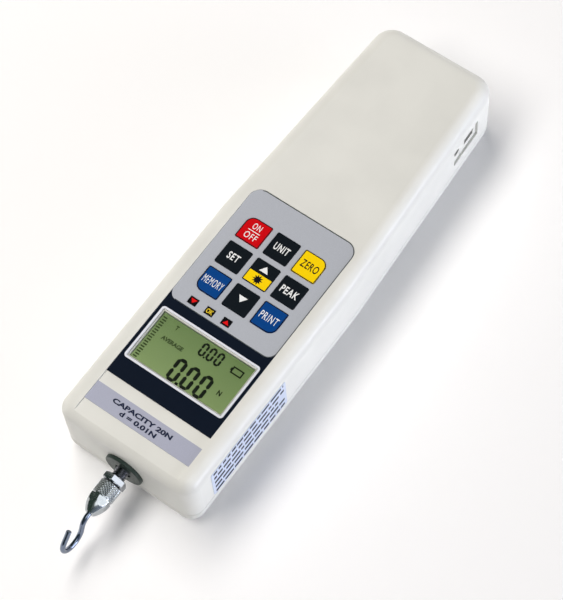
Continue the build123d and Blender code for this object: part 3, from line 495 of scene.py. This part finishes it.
# the corner with the large radius, counted from the front left
ROUND_CORNERS = {"key_on_off": 3, "key_zero": 2, "key_memory": 0, "key_print": 1}
for key, corner in ROUND_CORNERS.items():
    radii = [KEY_CORNER] * 4
    radii[corner] = KEY_ROUND_CORNER
    x, y, top = top_of(key)
    outline = patch((x, y, top - OUTLINE_SUNK), OUTLINE_SIZE, OUTLINE_SIZE, radii)
    piece(key + "_outline", thicken(frame_of(outline, OUTLINE_LINE), OUTLINE_THICKNESS),
          key + "_body", ink_black)

x, y, top = top_of("key_up")
patch_y = y + LIGHT_PATCH_REAR
piece("key_up_patch", thicken(patch((x, patch_y, top), *LIGHT_PATCH)), "key_up_body",
      key_yellow)
piece("key_up_sun", thicken(rayed((x, patch_y, top + INK), SUN_RAYS, SUN_OUTER, SUN_INNER)),
      "key_up_body", ink_black)
piece("key_up_arrow", thicken(arrowhead((x, y + 2.6 * MM, top), *ARROW)),
      "key_up_body", ink_white)
x, y, top = top_of("key_down")
piece("key_down_arrow", thicken(arrowhead((x, y + 0.4 * MM, top), *ARROW, up=False)),
      "key_down_body", ink_white)

# ---------------------------------------------------------------- keypad edge: a line of painted shade
KEYPAD_RADII = (4.0 * MM, 4.0 * MM, 5.4 * MM, 5.4 * MM)
EDGE_LINE = 0.32 * MM
EDGE_LEFT_OPEN = 3 * MM      # the line leaves out this much at the left
# a dark line of painted shade round the keypad panel's step on the shaded sides; the lit left
# side is left out
low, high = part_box("keypad_foil")
x, y, top = top_of("keypad_foil")
edge_line = frame_of(patch((x, y, top - INK / 2), high.x - low.x, high.y - low.y, KEYPAD_RADII),
                     EDGE_LINE)
left_side = [f for f in edge_line.faces if f.calc_center_median().x < low.x + EDGE_LEFT_OPEN]
bmesh.ops.delete(edge_line, context="FACES", geom=left_side)
piece("keypad_edge_shade", thicken(edge_line), HOUSING, painted_edge_shade)

# ---------------------------------------------------------------- indicators
for window, up in (("indicator_low", False), ("indicator_high", True)):
    piece(window + "_arrow", thicken(arrowhead(top_of(window), 2.9 * MM, 1.9 * MM, up)),
          HOUSING, ink_red)
piece("indicator_ok_word",
      lettering("OK", 3.1 * MM, 2.1 * MM, top_of("indicator_ok"), 0.06 * MM),
      HOUSING, ink_yellow)

# ---------------------------------------------------------------- display
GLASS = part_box("display_glass")[1].z
SEGMENT_GAP = 0.04           # as a share of a bar's width
# each bar's place to the right and to the rear, and whether it runs along the gauge
SEGMENTS = ((0, 1, False), (1, 0.5, True), (1, -0.5, True), (0, -1, False), (-1, -0.5, True),
            (-1, 0.5, True))
# places across, place along, and a digit's width, height and stroke: in millimetres
READINGS = (((-3.1, 3.25, 9.6), -70.0, (4.9, 10.9, 1.55)),
            ((0.35, 4.1, 7.85), -56.95, (3.0, 6.2, 0.95)))
# decimal points: place across, place along, size
POINTS = ((0.15, -74.8, 1.3), (2.25, -59.65, 0.75))


def on_glass(x, y):
    """A place on the display, from millimetres."""
    return x * MM, y * MM, GLASS


def zero(sheet, x, y, width, height, stroke):
    """Six lit bars, which read 0."""
    half_w, half_h = (width - stroke) / 2, (height - stroke) / 2
    for right, rear, upright in SEGMENTS:
        length = (half_h if upright else 2 * half_w) - SEGMENT_GAP * stroke
        stamp(sheet, thicken(bar((x + right * half_w, y + rear * half_h, GLASS), length, stroke,
                                 upright)))


figures = bmesh.new()
for across, along, sizes in READINGS:
    for x in across:
        zero(figures, x * MM, along * MM, *(size * MM for size in sizes))
for x, y, size in POINTS:
    stamp(figures, thicken(patch(on_glass(x, y), size * MM, size * MM)))
piece("display_figures", figures, HOUSING, ink_segment)

marks = bmesh.new()
stamp(marks, thicken(frame_of(patch(on_glass(16.9, -57.3), 5.2 * MM, 3.2 * MM), 0.62 * MM)))
stamp(marks, thicken(patch(on_glass(14.1, -57.3), 0.6 * MM, 1.3 * MM)))
piece("display_battery", marks, HOUSING, ink_segment)

# name, word, width, height, place across and along, weight: in millimetres
DISPLAY_WORDS = (
    ("display_unit", "N", 1.7, 2.3, 16.4, -68.4, 0.12, ink_segment),
    ("display_average", "AVERAGE", 10.4, 1.9, -11.6, -61.8, 0.12, ink_faint),
    ("display_tick", "T", 1.3, 2.1, -13.9, -55.5, 0.15, ink_faint),
)
for name, word, width, height, x, y, weight, ink in DISPLAY_WORDS:
    piece(name, lettering(word, width * MM, height * MM, on_glass(x, y), weight * MM),
          HOUSING, ink)

GRAPH_REAR, GRAPH_FRONT, GRAPH_PITCH = -54.4, -74.4, 1.25
GRAPH_LEFT, GRAPH_STAGGER = -20.6, 0.25
graph = bmesh.new()
for i, y in enumerate(rows(GRAPH_REAR, GRAPH_FRONT, GRAPH_PITCH)):
    tick = on_glass(GRAPH_LEFT + GRAPH_STAGGER * (i % 2), y)
    stamp(graph, thicken(patch(tick, 1.9 * MM, 0.68 * MM)))
piece("display_bar_graph", graph, HOUSING, ink_faint)

# ---------------------------------------------------------------- strip and side label
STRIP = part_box("label_strip")[1].z
STRIP_CAPITAL, STRIP_LEFT, STRIP_WEIGHT = 2.15 * MM, -1.2 * MM, 0.13 * MM
for name, words, width, y in (("strip_capacity", "CAPACITY 20N", 28.6, -94.4),
                              ("strip_division", "d = 0.01N", 17.4, -97.4)):
    piece(name, lettering(words, width * MM, STRIP_CAPITAL, (STRIP_LEFT, y * MM, STRIP),
                          STRIP_WEIGHT), HOUSING, ink_navy)

LABEL_LOW, LABEL_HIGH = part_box("side_label")
ROW_MARGIN, ROW_PITCH, ROW_HEIGHT = 1.8 * MM, 3.7 * MM, 1.75 * MM
END_MARGIN, SHORT_ROW, SHORT_ROW_EVERY = 1.5, 9.0, 3
WORD_LENGTHS, WORD_GAPS = (1.4, 7.0), (0.7, 0.8, 1.1)
WORD_OVERRUN = 0.1 * MM
dice = random.Random(7)
dashes = bmesh.new()
for row, z in enumerate(rows(LABEL_HIGH.z - ROW_MARGIN, LABEL_LOW.z + ROW_MARGIN, ROW_PITCH)):
    along = LABEL_LOW.y + END_MARGIN * MM
    short = SHORT_ROW * dice.random() * (row % SHORT_ROW_EVERY == SHORT_ROW_EVERY - 1)
    end = LABEL_HIGH.y - (END_MARGIN + short) * MM
    while along < end:
        length = min(dice.uniform(*WORD_LENGTHS) * MM, end - along + WORD_OVERRUN)
        stamp(dashes, thicken(patch((along + length / 2, z, 0), length, ROW_HEIGHT)))
        along += length + dice.choice(WORD_GAPS) * MM
turn_up = Matrix(((0, 0, 1, LABEL_HIGH.x), (1, 0, 0, 0), (0, 1, 0, 0), (0, 0, 0, 1)))
bmesh.ops.transform(dashes, matrix=turn_up, verts=dashes.verts)
piece("side_label_dashes", dashes, HOUSING, ink_label)

# ---------------------------------------------------------------- threaded load shaft
SHAFT_LOW, SHAFT_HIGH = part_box("load_shaft")
SHAFT_RADIUS, SHAFT_TIP, SHAFT_BEVEL = 3.0 * MM, 2.5 * MM, 0.5 * MM
COLLAR_FRONT, COLLAR_REAR = -0.1053, -0.0973
COLLAR_RADIUS, COLLAR_BEVEL = 4.5 * MM, 0.2 * MM
COLLAR_FACE = COLLAR_RADIUS - COLLAR_BEVEL
THREAD_FRONT, THREAD_REAR = SHAFT_LOW.y + SHAFT_BEVEL, -0.1049
THREAD_DEPTH, THREAD_STEP, CREST = 0.55 * MM, 0.1 * MM, 1.25
THREAD_SKIN = 2.9 * MM       # points inside this aren't part of the thread
shaft_profile = [(SHAFT_LOW.y, 0.0), (SHAFT_LOW.y, SHAFT_TIP)]
shaft_profile += [(y, SHAFT_RADIUS) for y in rows(THREAD_FRONT, THREAD_REAR, THREAD_STEP)]
shaft_profile += [(COLLAR_FRONT, SHAFT_RADIUS), (COLLAR_FRONT, COLLAR_FACE),
                  (COLLAR_FRONT + COLLAR_BEVEL, COLLAR_RADIUS),
                  (COLLAR_REAR - COLLAR_BEVEL, COLLAR_RADIUS), (COLLAR_REAR, COLLAR_FACE),
                  (COLLAR_REAR, SHAFT_RADIUS), (SHAFT_HIGH.y - SHAFT_BEVEL, SHAFT_RADIUS),
                  (SHAFT_HIGH.y, SHAFT_TIP), (SHAFT_HIGH.y, 0.0)]
shaft = turned(shaft_profile, steps=48)
for v in shaft.verts:
    reach, turn = around(v)
    if THREAD_FRONT < v.co.y < THREAD_REAR and reach > THREAD_SKIN:
        crest = min(1.0, CREST * notch(v.co.y / MM - turn))
        draw_in(v, reach, reach - THREAD_DEPTH * (1.0 - crest))
threaded = piece("load_shaft_threaded", shaft, "load_train", shaft_steel,
                 smooth=True)
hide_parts("load_shaft")

# ---------------------------------------------------------------- lock nut, with bevelled corners
NUT_LOW, NUT_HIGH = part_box("lock_nut")
NUT_FLATS, NUT_CORNER, NUT_FACE, NUT_BEVEL = 4.5 * MM, 5.25 * MM, 4.45 * MM, 0.4 * MM
THREAD_BORE = 3.05 * MM
nut_profile = [(NUT_LOW.y, THREAD_BORE), (NUT_LOW.y, NUT_FACE),
               (NUT_LOW.y + NUT_BEVEL, NUT_CORNER), (NUT_HIGH.y - NUT_BEVEL, NUT_CORNER),
               (NUT_HIGH.y, NUT_FACE), (NUT_HIGH.y, THREAD_BORE), (NUT_LOW.y, THREAD_BORE)]
nut = turned(nut_profile, steps=96)
for v in nut.verts:
    reach, turn = around(v)
    draw_in(v, reach, min(reach, hexagon(turn, NUT_FLATS)))
bevelled = piece("lock_nut_bevelled", nut, "nut_body", nut_chrome)
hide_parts("lock_nut")

# ---------------------------------------------------------------- knurled adaptor
GRIP_REAR, GROOVE_REAR, GROOVE_FRONT, NOSE = -0.1186, -0.1248, -0.1253, -0.1329
GRIP_RADIUS, GRIP_FACE, GRIP_EDGE = 4.75 * MM, 4.1 * MM, 4.6 * MM
GROOVE_LIP, GROOVE_RADIUS = 4.5 * MM, 4.2 * MM
BORE_END, WIRE_BORE_END, WIRE_BORE = -0.1251, -0.1289, 1.13 * MM
KNURLS, KNURL_DEPTH, KNURL_STEPS = 24, 0.26 * MM, 10
KNURL_PITCH = 2 * pi * GRIP_RADIUS / KNURLS
KNURL_SKIN = 4.7 * MM        # points inside this aren't knurled
FLATS_END, FLATS, FLATS_SKIN = GROOVE_FRONT - 3.6 * MM, 4.15 * MM, 4.21 * MM
NOSE_ARC, NOSE_BEVEL = 11.877 * MM, 0.3 * MM


def nose_radius(y):
    """The nose's rounded cone."""
    run = min(0.0, y - GROOVE_FRONT)
    return GRIP_RADIUS - NOSE_ARC + (NOSE_ARC ** 2 - run ** 2) ** 0.5


adaptor_profile = [(BORE_END, 0.0), (BORE_END, THREAD_BORE), (GRIP_REAR, THREAD_BORE),
                   (GRIP_REAR, GRIP_FACE), (GRIP_REAR - 0.35 * MM, GRIP_EDGE)]
adaptor_profile += [(y, GRIP_RADIUS) for y in rows(GRIP_REAR - 0.45 * MM,
                                                   GROOVE_REAR + 0.25 * MM,
                                                   KNURL_PITCH / KNURL_STEPS)]
adaptor_profile += [(GROOVE_REAR, GROOVE_LIP), (GROOVE_REAR, GROOVE_RADIUS),
                    (GROOVE_FRONT, GROOVE_RADIUS)]
adaptor_profile += [(y, nose_radius(y)) for y in rows(GROOVE_FRONT, FLATS_END, 0.45 * MM)]
adaptor_profile += [(y, nose_radius(y)) for y in rows(FLATS_END - 0.05 * MM, NOSE + NOSE_BEVEL,
                                                      0.4 * MM)]
adaptor_profile += [(NOSE, nose_radius(NOSE + NOSE_BEVEL) - NOSE_BEVEL), (NOSE, WIRE_BORE),
                    (WIRE_BORE_END, WIRE_BORE), (WIRE_BORE_END, 0.0)]
adaptor = turned(adaptor_profile, steps=KNURLS * KNURL_STEPS)
for v in adaptor.verts:
    reach, turn = around(v)
    new = reach
    if GROOVE_REAR < v.co.y < GRIP_REAR - 0.4 * MM and reach > KNURL_SKIN:
        lead = (v.co.y - GRIP_REAR) / KNURL_PITCH
        teeth = min(notch(KNURLS * turn + lead), notch(KNURLS * turn - lead))
        new = reach - KNURL_DEPTH * (1.0 - teeth)
    elif FLATS_END <= v.co.y <= GROOVE_FRONT and reach > FLATS_SKIN:
        new = min(reach, hexagon(turn, FLATS))
    if new < reach:
        draw_in(v, reach, new)
grip = piece("hook_adaptor_knurled", adaptor, "hook_body", knurl_chrome)
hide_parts("hook_adaptor")

# ---------------------------------------------------------------- floor, lamps and surroundings
FLOOR_HALF = 4.0
GLOW_NEAR, GLOW_FAR, GLOW_REACH = 0.05, 0.95, (0.2, 0.9)
floor_mesh = bmesh.new()
bmesh.ops.create_grid(floor_mesh, x_segments=1, y_segments=1, size=FLOOR_HALF)
floor_data = bpy.data.meshes.new("floor")
floor_mesh.to_mesh(floor_data)
floor_mesh.free()
floor = bpy.data.objects.new("floor", floor_data)
scene.collection.objects.link(floor)

# white paper that fades into white further off, for the camera and for mirrors alone
paper, paper_tree, paper_shader = blank("floor_paper")
paper_tree.links.new(tinted(paper_tree, noise(paper_tree, 300.0), (0.965, 0.965, 0.97, 1),
                            (0.98, 0.98, 0.985, 1)), paper_shader.inputs["Base Color"])
paper_shader.inputs["Roughness"].default_value = 0.9
path = paper_tree.nodes.new("ShaderNodeLightPath")
seen = paper_tree.nodes.new("ShaderNodeMath")
seen.operation = "MAXIMUM"
paper_tree.links.new(path.outputs["Is Camera Ray"], seen.inputs[0])
paper_tree.links.new(path.outputs["Is Glossy Ray"], seen.inputs[1])
floor_place = paper_tree.nodes.new("ShaderNodeTexCoord")
floor_reach = paper_tree.nodes.new("ShaderNodeVectorMath")
floor_reach.operation = "LENGTH"
paper_tree.links.new(floor_place.outputs["Object"], floor_reach.inputs[0])
glow = paper_tree.nodes.new("ShaderNodeMath")
glow.operation = "MULTIPLY"
paper_tree.links.new(seen.outputs[0], glow.inputs[0])
paper_tree.links.new(spread(paper_tree, floor_reach.outputs["Value"], GLOW_NEAR, GLOW_FAR,
                            GLOW_REACH), glow.inputs[1])
paper_shader.inputs["Emission Color"].default_value = (1, 1, 1, 1)
paper_tree.links.new(glow.outputs[0], paper_shader.inputs["Emission Strength"])
floor_data.materials.append(paper)


def lamp(name, spot, aim, width, height, power, colour, mirrored=True):
    """A soft rectangular lamp; polished metal mirrors it only where mirrored is set."""
    light = bpy.data.lights.new(name, "AREA")
    light.shape, light.size, light.size_y = "RECTANGLE", width, height
    light.energy, light.color = power, colour
    holder = bpy.data.objects.new(name, light)
    scene.collection.objects.link(holder)
    holder.visible_glossy = mirrored
    holder.location = spot
    holder.rotation_euler = (Vector(aim) - Vector(spot)).to_track_quat("-Z", "Y").to_euler()


lamp("left_softbox", spot=(-0.42, -0.12, 1.0), aim=(0, -0.02, 0.02), width=1.5, height=0.45,
     power=13.6, colour=(1.0, 0.97, 0.935), mirrored=False)
lamp("right_softbox", spot=(0.95, 0.22, 0.11), aim=(0, 0.02, 0.02), width=0.9, height=0.16,
     power=8.2, colour=(0.85, 0.88, 1.0))

world = bpy.data.worlds.new("surroundings")
scene.world = world
world.use_nodes = True
sky = world.node_tree
sky_out = sky.nodes["World Output"]
ambient = sky.nodes["Background"]
ambient.inputs["Color"].default_value = (1.0, 0.98, 1.0, 1)
ambient.inputs["Strength"].default_value = 0.10
white = sky.nodes.new("ShaderNodeBackground")
white.inputs["Color"].default_value = (1, 1, 1, 1)
white.inputs["Strength"].default_value = 1.0
room = sky.nodes.new("ShaderNodeBackground")
room.inputs["Strength"].default_value = 1.0
sky_path = sky.nodes.new("ShaderNodeLightPath")

# what polished metal mirrors: a dark room, paler to the right, with two bright cards above
sky_where = sky.nodes.new("ShaderNodeTexCoord")
sky_axes = sky.nodes.new("ShaderNodeSeparateXYZ")
sky.links.new(sky_where.outputs["Generated"], sky_axes.inputs["Vector"])
room_tone = tinted(sky, sky_axes.outputs["X"], (0.05, 0.075, 0.06, 1), (0.30, 0.34, 0.42, 1),
                   (0.0, 0.9))
# each card's direction, the cosines at its outer and inner edge, and its brightness
CARDS = (((0.62, 0.33, 0.70), (0.88, 0.96), 1.6),
         ((0.25, -0.25, 0.93), (0.93, 0.97), 2.0))
for card_place, card_edge, strength in CARDS:
    card_aim = sky.nodes.new("ShaderNodeVectorMath")
    card_aim.operation = "DOT_PRODUCT"
    card_aim.inputs[1].default_value = Vector(card_place).normalized()
    sky.links.new(sky_where.outputs["Generated"], card_aim.inputs[0])
    card = spread(sky, card_aim.outputs["Value"], 0.0, strength, card_edge)
    card_light = sky.nodes.new("ShaderNodeMix")
    card_light.data_type = "RGBA"
    card_light.blend_type = "ADD"
    card_light.inputs[0].default_value = 1.0
    sky.links.new(room_tone, card_light.inputs[6])
    sky.links.new(card, card_light.inputs[7])
    room_tone = card_light.outputs[2]
sky.links.new(room_tone, room.inputs["Color"])


def sky_blend(switch, first, second):
    """The first surroundings, or the second for the rays that the switch names."""
    mix = sky.nodes.new("ShaderNodeMixShader")
    sky.links.new(switch, mix.inputs["Fac"])
    sky.links.new(first, mix.inputs[1])
    sky.links.new(second, mix.inputs[2])
    return mix.outputs[0]


surround = sky_blend(sky_path.outputs["Is Glossy Ray"], ambient.outputs[0], room.outputs[0])
surround = sky_blend(sky_path.outputs["Is Transmission Ray"], surround, white.outputs[0])
surround = sky_blend(sky_path.outputs["Is Camera Ray"], surround, white.outputs[0])
sky.links.new(surround, sky_out.inputs["Surface"])

scene.view_settings.view_transform = "Standard"
